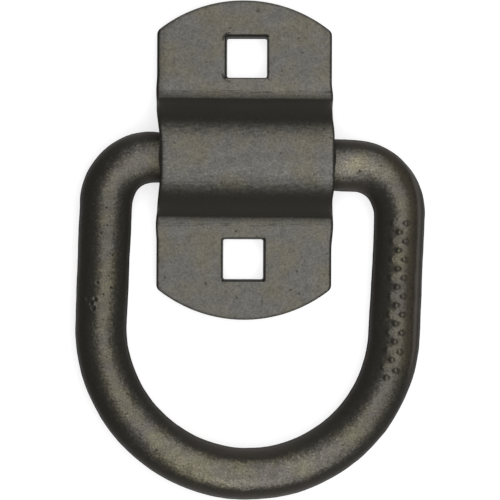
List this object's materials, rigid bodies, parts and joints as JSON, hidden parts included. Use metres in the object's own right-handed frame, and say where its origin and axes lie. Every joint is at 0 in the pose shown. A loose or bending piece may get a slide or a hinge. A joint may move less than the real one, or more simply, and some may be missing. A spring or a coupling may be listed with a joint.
{
  "type": "forged d-ring with bolt-on bracket",
  "caption": "Forged D-ring of round bar, hinged under a bent strap bracket with a square bolt hole in each foot.",
  "frame": {"origin": "on the mounting plane, midway between the centres of the bracket's two square bolt holes", "axes": "+Z away from the mounting surface, through the middle of the saddle; +Y along the bracket to the foot that the ring doesn't lie round; +X across the bracket, along the ring's bar"},
  "size_m": [0.0885, 0.1269, 0.0205],
  "materials": {
    "strap_steel": "matte",
    "forged_steel": "matte"
  },
  "bodies": {
    "bracket": {"mounting_bracket": "strap_steel"},
    "ring": {"d_ring": "forged_steel"}
  },
  "joints": [
    {"name": "ring_swing", "type": "hinge", "parent": "bracket", "child": "ring", "pos_m": [0, -0.0008, 0.00635], "axis": [-0.9993, 0.0384, 0], "range_deg": [0, 180]}
  ]
}
